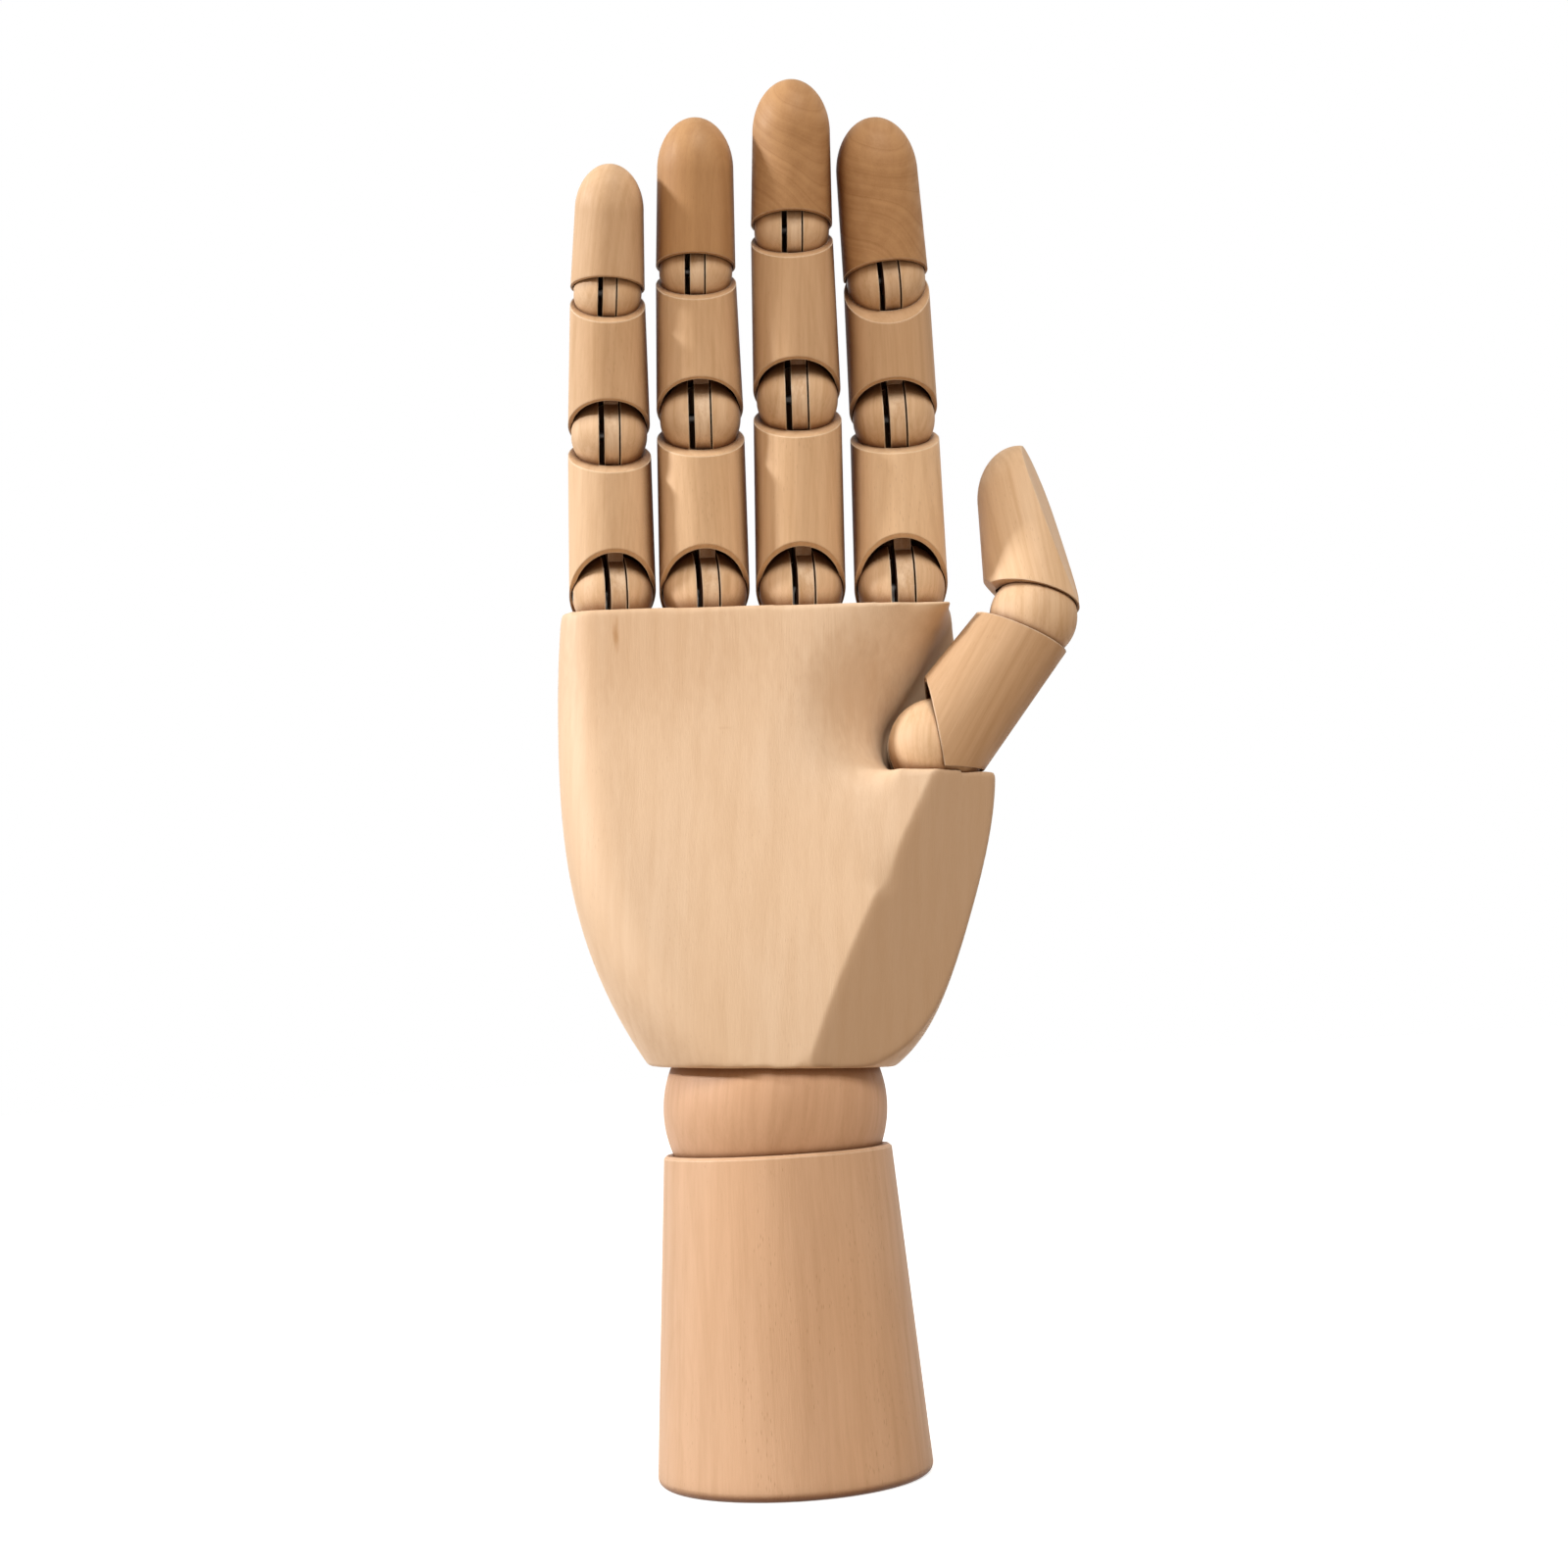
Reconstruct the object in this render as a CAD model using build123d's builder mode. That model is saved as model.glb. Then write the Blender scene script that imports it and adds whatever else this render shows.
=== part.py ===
from build123d import *
import os
from math import atan, degrees

# A jointed wooden right hand on a forearm stand, in millimetres.
# The origin is the centre of the stand's underside, +Z up, palm towards -Y,
# thumb towards +X. Every joint stands as it does in the photograph.

# Forearm and wrist
forearm_height = 60.1
forearm_base_diameter = 51.2
forearm_top_diameter = 42.7
forearm_base_rounding = 1.6
forearm_rim_chamfer = 0.5
wrist_ball_diameter = 42.0
wrist_ball_lift = 7.8
wrist_bore_diameter = 9.0
wrist_bore_reach = 34.0
wrist_bore_flare = 17.0
spring_gap = 0.3
spring_wire = 1.4
spring_curve_radius = 300.0

# Palm block
palm_gap = 7.7
palm_height = 87.0
palm_width = 83.0
palm_depth = 43.4
hollow_radius = 30.0
thumb_shelf_drop = 32.1
thumb_groove_gap = 0.6

# Slots in the palm for the feet that hold the first balls down
tie_neck_width = 8.6
tie_neck_depth = 2.6
tie_neck_length = 2.0
tie_chamber_depth = 7.4
tie_chamber_height = 2.0
thumb_neck_diameter = 5.5
thumb_chamber_diameter = 7.2
thumb_foot_width = 4.7

# How far each finger's first ball stands from the wrist's axis, and above the palm's top
pinky_place = 31.2
ring_place = 13.6
middle_place = 4.8
index_place = 24.0
knuckle_lift = 4.4

# The thumb's first ball: across, forward of the palm's middle, above its shelf
thumb_place = 30.2
thumb_forward = 4.2
thumb_lift = 4.9

# Phalanx lengths, from ball centre to ball centre or to the tip
pinky_first_length = 30.3
pinky_second_length = 26.5
pinky_tip_length = 23.5
ring_first_length = 33.0
ring_second_length = 27.2
ring_tip_length = 27.9
middle_first_length = 36.1
middle_second_length = 31.3
middle_tip_length = 27.0
index_first_length = 32.0
index_second_length = 26.0
index_tip_length = 29.7
thumb_first_length = 31.0
thumb_tip_length = 36.8

# Phalanx diameters at their lower ends, and below the rounded tips
pinky_first_diameter = 16.6
pinky_second_diameter = 15.6
pinky_third_diameter = 13.9
pinky_end_diameter = 12.7
ring_first_diameter = 17.3
ring_second_diameter = 16.5
ring_third_diameter = 14.9
ring_end_diameter = 14.1
middle_first_diameter = 17.2
middle_second_diameter = 16.6
middle_third_diameter = 15.2
middle_end_diameter = 14.3
index_first_diameter = 17.9
index_second_diameter = 16.8
index_third_diameter = 16.0
index_end_diameter = 15.1
thumb_first_diameter = 20.0
thumb_second_diameter = 17.8
thumb_end_diameter = 17.0

# Knuckle parts and fits
ball_inset = 0.6
running_gap = 0.2
glue_gap = 0.02
stop_gap = 0.5
pin_diameter = 1.8
pin_gap = 0.05
pin_cover = 1.8
tongue_root_length = 5.0
socket_step = 1.2
tie_foot_height = 1.4
tie_blade_width = 2.2
second_ball_drop = 3.8
third_ball_drop = 2.2
first_bevel_lift = 0.5
second_bevel_lift = 2.0
third_bevel_lift = 1.0
thumb_bevel_drop = 0.4
thumb_heel_lift = 3.9
cut_overrun = 3.0

# Shares of a ball's diameter
slot_width_share = 0.28
tongue_width_share = 0.19
tongue_shift_share = 0.025
tie_blade_share = 0.04
tie_shift_share = 0.105

# Shares of a ball's radius
slot_back_share = 0.6
tongue_rim_share = 0.93
tongue_hub_share = 0.36
tongue_root_share = 0.34
socket_bore_share = 0.955
thumb_tip_bore_share = 0.8

# Shares of a tip's end radius, and of its length
tip_dome_share = 1.35
round_handle_share = 0.55
nail_start_share = 0.45
thumb_nail_start_share = 0.1

# Slopes and spans, in degrees
palm_lean_angle = 3.3
thumb_lean_angle = 36.9
thumb_fold_angle = 6
thumb_slot_angle = 14
nail_angle = 9
thumb_nail_angle = 11.5
thumb_heel_angle = -18
tongue_top_angle = -20
tongue_bottom_angle = 140

# The palm block from the wrist up: height, left, right, palm side, back and corner radius,
# as shares of the palm's height, width, width, depth, depth and depth
palm_section_shares = [
    (0.0, -0.285, 0.270, -0.5, 0.5, 0.47),
    (0.14, -0.371, 0.374, -0.475, 0.46, 0.36),
    (0.33, -0.445, 0.441, -0.424, 0.405, 0.28),
    (0.58, -0.487, 0.496, -0.341, 0.336, 0.23),
    (0.80, -0.496, 0.482, -0.281, 0.281, 0.20),
    (1.03, -0.482, 0.446, -0.249, 0.249, 0.15),
]
# The palm's sloping top edge: width and height shares of its two ends
palm_top_shares = [(-0.482, 0.976), (0.404, 0.998)]
# The flat on the thumb side: width, depth and height shares of three of its points
palm_flat_shares = [(0.355, -0.33, 0.608), (0.083, -0.5, 0.005), (0.495, -0.18, 0.633)]
# What is cut off beside the index finger, down to the shelf: width and height shares
side_cut_shares = [(0.395, 1.03), (0.472, 0.631), (0.6, 0.631), (0.6, 1.03)]
# Middle of the round hollow beside the thumb: width, depth and height shares
hollow_middle_share = (0.377, -0.745, 0.766)


def shifted(frame, across=0, forward=0, up=0):
    """The frame moved along its own axes; forward is towards the palm side."""
    return Plane(frame.location * Location((across, -forward, up)))


def turned(frame, bend=0, lean=0, roll=0):
    """The frame turned about its own x, y and z axes."""
    return Plane(frame.location * Rotation(bend, lean, roll))


def side_view(frame):
    """A drawing plane square to the pin: x runs to the back of the hand, y up."""
    return Plane(origin=frame.origin, x_dir=frame.y_dir, z_dir=frame.x_dir)


def front_view(frame):
    """A drawing plane seen from the palm side: x runs across, y up."""
    return Plane(origin=frame.origin, x_dir=frame.x_dir, z_dir=-frame.y_dir)


def keep_piece(part, name):
    """Label a finished piece and write it to its own file."""
    part.label = name
    export_step(part, f"parts/{name}.step")


class Knuckle:
    """One ball joint and the phalanx above it.

    The phalanx frame stands on the ball's centre with z along the phalanx. The hinge
    frame is the same turned by roll, so that x is the pin. The ball's frame is the
    hinge frame bent back by bend, so that z is where the straight phalanx points."""

    def __init__(self, frame, bend, roll, length, diameter, bevel, bevel_lift, drop, slope):
        self.phalanx = frame
        self.length = length
        self.diameter = diameter
        self.radius = diameter / 2 - ball_inset
        self.hinge = turned(frame, roll=roll)
        self.ball = turned(self.hinge, bend=-bend)
        self.tie = self.ball
        self.drop = drop
        self.slope = slope
        self.bevel = turned(shifted(frame, up=bevel_lift), bend=-bevel)
        self.stop = turned(shifted(frame, up=stop_gap - drop), bend=slope)
        self.slot = 2 * self.radius * slot_width_share
        self.tongue = 2 * self.radius * tongue_width_share
        self.tongue_frame = shifted(self.hinge, across=2 * self.radius * tongue_shift_share)
        self.root_half = self.radius * tongue_root_share
        self.root_top = self.radius + socket_step + tongue_root_length
        self.bore = self.radius * socket_bore_share
        self.pin_reach = (self.radius**2 - (pin_diameter / 2) ** 2) ** 0.5
        self.pin_end = self.radius - pin_cover
        self.neck_reach = self.radius + tie_neck_length
        self.foot_width = tie_chamber_depth - 2 * stop_gap
        self.nail_start = length * nail_start_share
        self.nail_angle = nail_angle


def make_chain(seat, steps):
    """The knuckles of one finger or thumb, from the palm to the tip."""
    knuckles = []
    for lean, twist, bend, roll, length, diameter, bevel, bevel_lift, drop, slope in steps:
        frame = turned(turned(turned(seat, lean=lean), roll=twist), bend=bend)
        knuckles.append(
            Knuckle(frame, bend, roll, length, diameter, bevel, bevel_lift, drop, slope)
        )
        seat = shifted(frame, up=length)
    return knuckles


def make_ball(knuckle):
    """A turned ball, slotted from the palm side and drilled from one side for its pin."""
    block = 2 * (knuckle.radius + cut_overrun)
    with BuildPart(knuckle.ball) as ball:
        Sphere(knuckle.radius)
        with BuildSketch(side_view(knuckle.ball)):
            with Locations((knuckle.radius * slot_back_share, 0)):
                Rectangle(block, block, align=(Align.MAX, Align.CENTER))
        extrude(amount=knuckle.slot / 2, both=True, mode=Mode.SUBTRACT)
        with BuildSketch(side_view(knuckle.ball).offset(knuckle.pin_end + glue_gap)):
            Circle(pin_diameter / 2 + glue_gap)
        extrude(amount=-block, mode=Mode.SUBTRACT)
    return ball.part


def make_tongue(knuckle):
    """The wooden strip in a ball's slot: hub on the pin, round rim, glued root."""
    with BuildPart() as tongue:
        with BuildSketch(side_view(knuckle.tongue_frame)):
            with BuildLine():
                rim = CenterArc(
                    (0, 0),
                    knuckle.radius * tongue_rim_share,
                    90 + tongue_top_angle,
                    tongue_bottom_angle - tongue_top_angle,
                )
                Line((0, 0), rim @ 0)
                Line(rim @ 1, (0, 0))
            make_face()
            Circle(knuckle.radius * tongue_hub_share)
            Rectangle(2 * knuckle.root_half, knuckle.root_top, align=(Align.CENTER, Align.MIN))
            Circle(pin_diameter / 2 + pin_gap, mode=Mode.SUBTRACT)
        extrude(amount=knuckle.tongue / 2, both=True)
    return tongue.part


def make_pin(knuckle):
    """A steel cross pin, flush with one cheek of the ball and covered by the other."""
    with BuildPart() as pin:
        with BuildSketch(side_view(knuckle.ball).offset(knuckle.pin_end)):
            Circle(pin_diameter / 2)
        extrude(amount=-(knuckle.pin_end + knuckle.pin_reach))
    return pin.part


def make_tie(knuckle):
    """A cross pin with a flat blade and a foot that holds a first ball on the palm."""
    foot_bottom = knuckle.neck_reach + running_gap + tie_foot_height
    side = shifted(knuckle.tie, across=-2 * knuckle.radius * tie_shift_share)
    with BuildPart() as tie:
        with BuildSketch(side_view(knuckle.tie).offset(knuckle.pin_end)):
            Circle(pin_diameter / 2)
        extrude(amount=-(knuckle.pin_end + knuckle.pin_reach))
        with BuildSketch(side_view(side)):
            Rectangle(tie_blade_width, foot_bottom, align=(Align.CENTER, Align.MAX))
            with Locations((0, -foot_bottom)):
                Rectangle(knuckle.foot_width, tie_foot_height, align=(Align.CENTER, Align.MIN))
        extrude(amount=knuckle.radius * tie_blade_share, both=True)
    return tie.part


def make_phalanx(knuckle, end_diameter, upper=None):
    """A turned phalanx: bevel and socket below, a rim and ball seat or a tip above."""
    frame = knuckle.phalanx
    length = knuckle.length
    base_radius, end_radius = knuckle.diameter / 2, end_diameter / 2
    dome = end_radius * tip_dome_share
    shoulder = length if upper else length - dome
    with BuildPart(frame) as phalanx:
        with BuildSketch(side_view(frame)):
            with BuildLine():
                if upper:
                    end = Line((end_radius, shoulder), (end_radius, length + end_radius))
                    top = Line(end @ 1, (0, length + end_radius))
                else:
                    top = Bezier(
                        (end_radius, shoulder),
                        (end_radius, shoulder + dome * round_handle_share),
                        (end_radius * round_handle_share, length),
                        (0, length),
                    )
                Polyline(
                    (end_radius, shoulder),
                    (base_radius, 0),
                    (base_radius, -base_radius),
                    (0, -base_radius),
                    top @ 1,
                )
            make_face()
        revolve(axis=Axis(frame.origin, frame.z_dir))
        split(bisect_by=knuckle.bevel, keep=Keep.TOP)
        split(bisect_by=knuckle.stop, keep=Keep.TOP)
        Sphere(knuckle.radius + running_gap, mode=Mode.SUBTRACT)
        Cylinder(
            knuckle.bore,
            knuckle.radius + socket_step,
            align=(Align.CENTER, Align.CENTER, Align.MIN),
            mode=Mode.SUBTRACT,
        )
        with BuildSketch(side_view(knuckle.tongue_frame)):
            Rectangle(
                2 * (knuckle.root_half + glue_gap),
                knuckle.root_top + glue_gap,
                align=(Align.CENTER, Align.MIN),
            )
        extrude(amount=knuckle.tongue / 2 + glue_gap, both=True, mode=Mode.SUBTRACT)
        if upper:
            rim = turned(shifted(frame, up=length - upper.drop), bend=upper.slope)
            split(bisect_by=rim, keep=Keep.BOTTOM)
            with Locations(frame.location.inverse() * upper.ball.location):
                Sphere(upper.radius + glue_gap, mode=Mode.SUBTRACT)
        else:
            nail = shifted(frame, forward=-end_radius, up=knuckle.nail_start)
            split(bisect_by=turned(nail, bend=knuckle.nail_angle - 90), keep=Keep.BOTTOM)
    return phalanx.part


os.makedirs("parts", exist_ok=True)

# Frames of the wrist and the palm
wrist_frame = Plane.XY.offset(forearm_height + wrist_ball_lift)
palm_frame = turned(wrist_frame, lean=palm_lean_angle)
palm_base = shifted(palm_frame, up=palm_gap)
palm_top_left, palm_top_right = [
    (palm_width * across, palm_height * up) for across, up in palm_top_shares
]
palm_top_slope = (palm_top_right[1] - palm_top_left[1]) / (palm_top_right[0] - palm_top_left[0])
palm_top = turned(
    shifted(palm_base, across=palm_top_left[0], up=palm_top_left[1]),
    lean=-degrees(atan(palm_top_slope)),
)
thumb_shelf = shifted(palm_base, up=palm_height - thumb_shelf_drop)
thumb_seat = shifted(thumb_shelf, across=thumb_place, forward=thumb_forward, up=thumb_lift)


def finger_seat(across):
    """The frame of a finger's first ball, over the palm's top edge."""
    rise = palm_top_slope * (across - palm_top_left[0])
    return shifted(palm_base, across=across, up=palm_top_left[1] + rise + knuckle_lift)


# Each knuckle from the palm to the tip: lean, twist and bend at rest, roll of its pin,
# length and lower diameter of its phalanx, bevel and its lift over the ball's centre,
# drop and slope of the rim that the ball sits in
pinky = make_chain(finger_seat(-pinky_place), [
    (-2.7, 8, 15, 2, pinky_first_length, pinky_first_diameter, 48, first_bevel_lift, knuckle_lift, 0),
    (0.5, -3, 6, 0, pinky_second_length, pinky_second_diameter, 38, second_bevel_lift, second_ball_drop, 20),
    (1.9, -1, 3, 0, pinky_tip_length, pinky_third_diameter, 24, third_bevel_lift, third_ball_drop, 20),
])
ring = make_chain(finger_seat(-ring_place), [
    (-2.2, 4, 15, 4, ring_first_length, ring_first_diameter, 48, first_bevel_lift, knuckle_lift, 0),
    (-0.3, -2, 2, 0, ring_second_length, ring_second_diameter, 38, second_bevel_lift, second_ball_drop, 20),
    (1.6, -1, 5, 0, ring_tip_length, ring_third_diameter, 24, third_bevel_lift, third_ball_drop, 20),
])
middle = make_chain(finger_seat(middle_place), [
    (-1.4, 1, 15, 4, middle_first_length, middle_first_diameter, 48, first_bevel_lift, knuckle_lift, 0),
    (-0.8, -1, 2, 0, middle_second_length, middle_second_diameter, 38, second_bevel_lift, second_ball_drop, 20),
    (1.5, 1, 5, 0, middle_tip_length, middle_third_diameter, 24, third_bevel_lift, third_ball_drop, 20),
])
index = make_chain(finger_seat(index_place), [
    (-2.9, 1, 10, 0, index_first_length, index_first_diameter, 48, first_bevel_lift, knuckle_lift, 0),
    (-1.2, -1, 8, 0, index_second_length, index_second_diameter, 38, second_bevel_lift, second_ball_drop, 20),
    (-2.0, 3, 4, 0, index_tip_length, index_third_diameter, 24, third_bevel_lift, third_ball_drop, 34),
])
thumb = make_chain(thumb_seat, [
    (thumb_lean_angle, -90, 0, 0, thumb_first_length, thumb_first_diameter, 43, first_bevel_lift, thumb_lift, 0),
    (0, -28, 43.5, 0, thumb_tip_length, thumb_second_diameter, 47, -thumb_bevel_drop, second_ball_drop, 13),
])
# The thumb's first phalanx rests on the shelf. Its tie stands square to the shelf, so
# the web at the back of its ball is turned out of the tie's way.
thumb[0].stop = shifted(thumb_shelf, up=stop_gap)
thumb[0].ball = turned(thumb[0].hinge, bend=thumb_slot_angle)
thumb[0].tie = turned(thumb[0].hinge, bend=thumb_lean_angle)
thumb[0].foot_width = thumb_foot_width
# The thumb's tip has a short heel, a long flat nail and a narrower bore below it.
thumb[1].stop = turned(shifted(thumb[1].phalanx, up=thumb_heel_lift), bend=thumb_heel_angle)
thumb[1].nail_start = thumb_tip_length * thumb_nail_start_share
thumb[1].nail_angle = thumb_nail_angle
thumb[1].bore = thumb[1].radius * thumb_tip_bore_share

fingers = {"pinky": pinky, "ring": ring, "middle": middle, "index": index}
end_diameters = {
    "pinky": pinky_end_diameter,
    "ring": ring_end_diameter,
    "middle": middle_end_diameter,
    "index": index_end_diameter,
    "thumb": thumb_end_diameter,
}

# Forearm: a turned cone with a round seat for the wrist ball and a blind bore
wrist_seat_radius = wrist_ball_diameter / 2 + running_gap
with BuildPart() as forearm:
    with BuildSketch(Plane.XZ):
        with BuildLine():
            Polyline(
                (0, 0),
                (forearm_base_diameter / 2, 0),
                (forearm_top_diameter / 2, forearm_height),
                (0, forearm_height),
                close=True,
            )
        make_face()
    revolve(axis=Axis.Z)
    fillet(forearm.edges().group_by(Axis.Z)[0], forearm_base_rounding)
    chamfer(forearm.edges().group_by(Axis.Z)[-1], forearm_rim_chamfer)
    with Locations(wrist_frame.location):
        Sphere(wrist_seat_radius, mode=Mode.SUBTRACT)
        Cylinder(
            wrist_bore_diameter / 2,
            wrist_bore_reach,
            align=(Align.CENTER, Align.CENTER, Align.MAX),
            mode=Mode.SUBTRACT,
        )
keep_piece(forearm.part, "forearm")

# Wrist ball, with a bore that widens to both ends to let the spring bend
with BuildPart() as wrist_ball:
    with Locations(wrist_frame.location):
        Sphere(wrist_ball_diameter / 2)
    with BuildSketch(side_view(wrist_frame)):
        with BuildLine():
            Polyline(
                (0, -wrist_ball_diameter / 2),
                (wrist_bore_flare / 2, -wrist_ball_diameter / 2),
                (wrist_bore_diameter / 2, 0),
                (wrist_bore_flare / 2, wrist_ball_diameter / 2),
                (0, wrist_ball_diameter / 2),
                close=True,
            )
        make_face()
    revolve(axis=Axis(wrist_frame.origin, wrist_frame.z_dir), mode=Mode.SUBTRACT)
keep_piece(wrist_ball.part, "wrist_ball")

# Wrist spring: close turns as one tube, from the forearm's bore into the palm's
spring_radius = wrist_bore_diameter / 2 - spring_gap
spring_reach = wrist_bore_reach - spring_gap
spring_end = palm_frame.z_dir * spring_reach
with BuildPart() as wrist_spring:
    with BuildLine(Plane(origin=wrist_frame.origin, x_dir=(1, 0, 0), z_dir=(0, -1, 0))) as spring_path:
        FilletPolyline(
            (0, -spring_reach),
            (0, 0),
            (spring_end.X, spring_end.Z),
            radius=spring_curve_radius,
        )
    with BuildSketch(wrist_frame.offset(-spring_reach)):
        Circle(spring_radius)
        Circle(spring_radius - spring_wire, mode=Mode.SUBTRACT)
    sweep(path=spring_path.line)
keep_piece(wrist_spring.part, "wrist_spring")

# What is cut from the palm above the thumb's shelf: the round hollow, the groove that
# the thumb lies and folds in, and the side below the index finger
hollow_middle = shifted(
    palm_base,
    across=palm_width * hollow_middle_share[0],
    forward=-palm_depth * hollow_middle_share[1],
    up=palm_height * hollow_middle_share[2],
)
groove_radius = thumb_first_diameter / 2 + thumb_groove_gap
with BuildPart() as thumb_recess:
    with Locations(hollow_middle.location):
        Sphere(hollow_radius)
    with Locations(thumb[0].phalanx.location):
        Sphere(groove_radius)
    for fold in (0, thumb_fold_angle):
        with Locations(turned(thumb[0].phalanx, bend=fold).location):
            Cylinder(groove_radius, palm_height, align=(Align.CENTER, Align.CENTER, Align.MIN))
    with BuildSketch(front_view(palm_base)):
        with BuildLine():
            Polyline(
                [(palm_width * across, palm_height * up) for across, up in side_cut_shares],
                close=True,
            )
        make_face()
    extrude(amount=palm_depth, both=True)
    split(bisect_by=thumb_shelf, keep=Keep.TOP)


def cut_finger_seat(knuckle):
    """A round seat, and below it a slot whose lower part is wider than its neck."""
    chamber_reach = knuckle.neck_reach + tie_chamber_height
    with Locations(knuckle.ball.location):
        Sphere(knuckle.radius + running_gap, mode=Mode.SUBTRACT)
    with BuildSketch(front_view(knuckle.tie)) as neck:
        Rectangle(tie_neck_width, chamber_reach, align=(Align.CENTER, Align.MAX))
    extrude(neck.sketch, amount=tie_neck_depth / 2, both=True, mode=Mode.SUBTRACT)
    with BuildSketch(front_view(knuckle.tie)) as chamber:
        Circle(chamber_reach)
        Circle(knuckle.neck_reach, mode=Mode.SUBTRACT)
        Rectangle(
            tie_neck_width,
            chamber_reach,
            align=(Align.CENTER, Align.MAX),
            mode=Mode.INTERSECT,
        )
    extrude(chamber.sketch, amount=tie_chamber_depth / 2, both=True, mode=Mode.SUBTRACT)


def cut_thumb_seat(knuckle):
    """A round seat in the shelf, and a drilled neck and chamber that the tie turns in."""
    chamber_reach = knuckle.neck_reach + tie_chamber_height
    with Locations(knuckle.tie.location):
        Sphere(knuckle.radius + running_gap, mode=Mode.SUBTRACT)
        Cylinder(
            thumb_neck_diameter / 2,
            chamber_reach,
            align=(Align.CENTER, Align.CENTER, Align.MAX),
            mode=Mode.SUBTRACT,
        )
    with Locations(shifted(knuckle.tie, up=-chamber_reach).location):
        Cylinder(
            thumb_chamber_diameter / 2,
            tie_chamber_height,
            align=(Align.CENTER, Align.CENTER, Align.MIN),
            mode=Mode.SUBTRACT,
        )


# Palm: one carved block
flat_corner, flat_foot, flat_side = [
    shifted(
        palm_base,
        across=palm_width * across,
        forward=-palm_depth * back,
        up=palm_height * up,
    ).origin
    for across, back, up in palm_flat_shares
]
palm_flat = Plane(
    origin=flat_corner,
    x_dir=flat_foot - flat_corner,
    z_dir=(flat_foot - flat_corner).cross(flat_side - flat_corner),
)
with BuildPart() as palm:
    for height, left, right, front, back, corner in palm_section_shares:
        section = shifted(
            palm_base,
            across=palm_width * (left + right) / 2,
            forward=-palm_depth * (front + back) / 2,
            up=palm_height * height,
        )
        with BuildSketch(section):
            RectangleRounded(
                palm_width * (right - left),
                palm_depth * (back - front),
                palm_depth * corner,
            )
    loft()
    split(bisect_by=palm_top, keep=Keep.BOTTOM)
    split(bisect_by=palm_flat, keep=Keep.BOTTOM)
    add(thumb_recess.part, mode=Mode.SUBTRACT)
    for finger in fingers.values():
        cut_finger_seat(finger[0])
    cut_thumb_seat(thumb[0])
    with Locations(palm_frame.location):
        Sphere(wrist_seat_radius, mode=Mode.SUBTRACT)
        Cylinder(
            wrist_bore_diameter / 2,
            wrist_bore_reach,
            align=(Align.CENTER, Align.CENTER, Align.MIN),
            mode=Mode.SUBTRACT,
        )
keep_piece(palm.part, "palm")

# Fingers and thumb
for digit, knuckles in {**fingers, "thumb": thumb}.items():
    phalanx_names = ["first_phalanx", "second_phalanx"][: len(knuckles) - 1] + ["tip"]
    upper_knuckles = knuckles[1:] + [None]
    for place, knuckle, phalanx_name, upper in zip(
        ["first", "second", "third"], knuckles, phalanx_names, upper_knuckles
    ):
        end_diameter = upper.diameter if upper else end_diameters[digit]
        keep_piece(make_phalanx(knuckle, end_diameter, upper), f"{digit}_{phalanx_name}")
        keep_piece(make_ball(knuckle), f"{digit}_{place}_ball")
        keep_piece(make_tongue(knuckle), f"{digit}_{place}_tongue")
        if place == "first":
            keep_piece(make_tie(knuckle), f"{digit}_base_tie")
        else:
            keep_piece(make_pin(knuckle), f"{digit}_{place}_pin")
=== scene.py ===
from math import radians

import bpy
import numpy as np
from mathutils import Matrix, Vector


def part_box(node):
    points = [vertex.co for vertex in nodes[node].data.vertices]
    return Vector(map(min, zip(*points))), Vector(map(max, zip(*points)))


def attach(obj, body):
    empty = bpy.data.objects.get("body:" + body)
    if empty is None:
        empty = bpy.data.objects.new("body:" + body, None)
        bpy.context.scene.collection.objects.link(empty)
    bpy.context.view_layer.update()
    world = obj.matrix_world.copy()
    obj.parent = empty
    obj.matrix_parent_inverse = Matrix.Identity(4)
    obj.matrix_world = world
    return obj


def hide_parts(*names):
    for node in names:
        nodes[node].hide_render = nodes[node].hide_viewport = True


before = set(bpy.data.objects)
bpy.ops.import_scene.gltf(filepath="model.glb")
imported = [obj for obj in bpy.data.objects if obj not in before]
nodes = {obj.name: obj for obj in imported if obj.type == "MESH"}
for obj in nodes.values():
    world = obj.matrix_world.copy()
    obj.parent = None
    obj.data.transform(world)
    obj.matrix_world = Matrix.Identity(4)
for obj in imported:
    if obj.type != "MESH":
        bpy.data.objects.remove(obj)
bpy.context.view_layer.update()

# Camera: about half a metre in front of the palm, a little below its middle and looking
# slightly up, turned a touch so that the forearm leans and the palm stands upright.
camera_place = Vector((0.0051, -0.466, 0.086))
camera_pitch = 5.23
camera_roll = -3.3
camera_lens = 56.54
camera_data = bpy.data.cameras.new("camera")
camera_data.lens = camera_lens
camera_data.sensor_width = 36.0
camera_data.sensor_fit = "HORIZONTAL"
camera = bpy.data.objects.new("camera", camera_data)
camera_turn = Matrix.Rotation(radians(90 + camera_pitch), 4, "X")
camera.matrix_world = (
    Matrix.Translation(camera_place) @ camera_turn @ Matrix.Rotation(radians(camera_roll), 4, "Z")
)
bpy.context.scene.collection.objects.link(camera)
bpy.context.scene.camera = camera
bpy.context.scene.view_settings.view_transform = "Standard"


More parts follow.
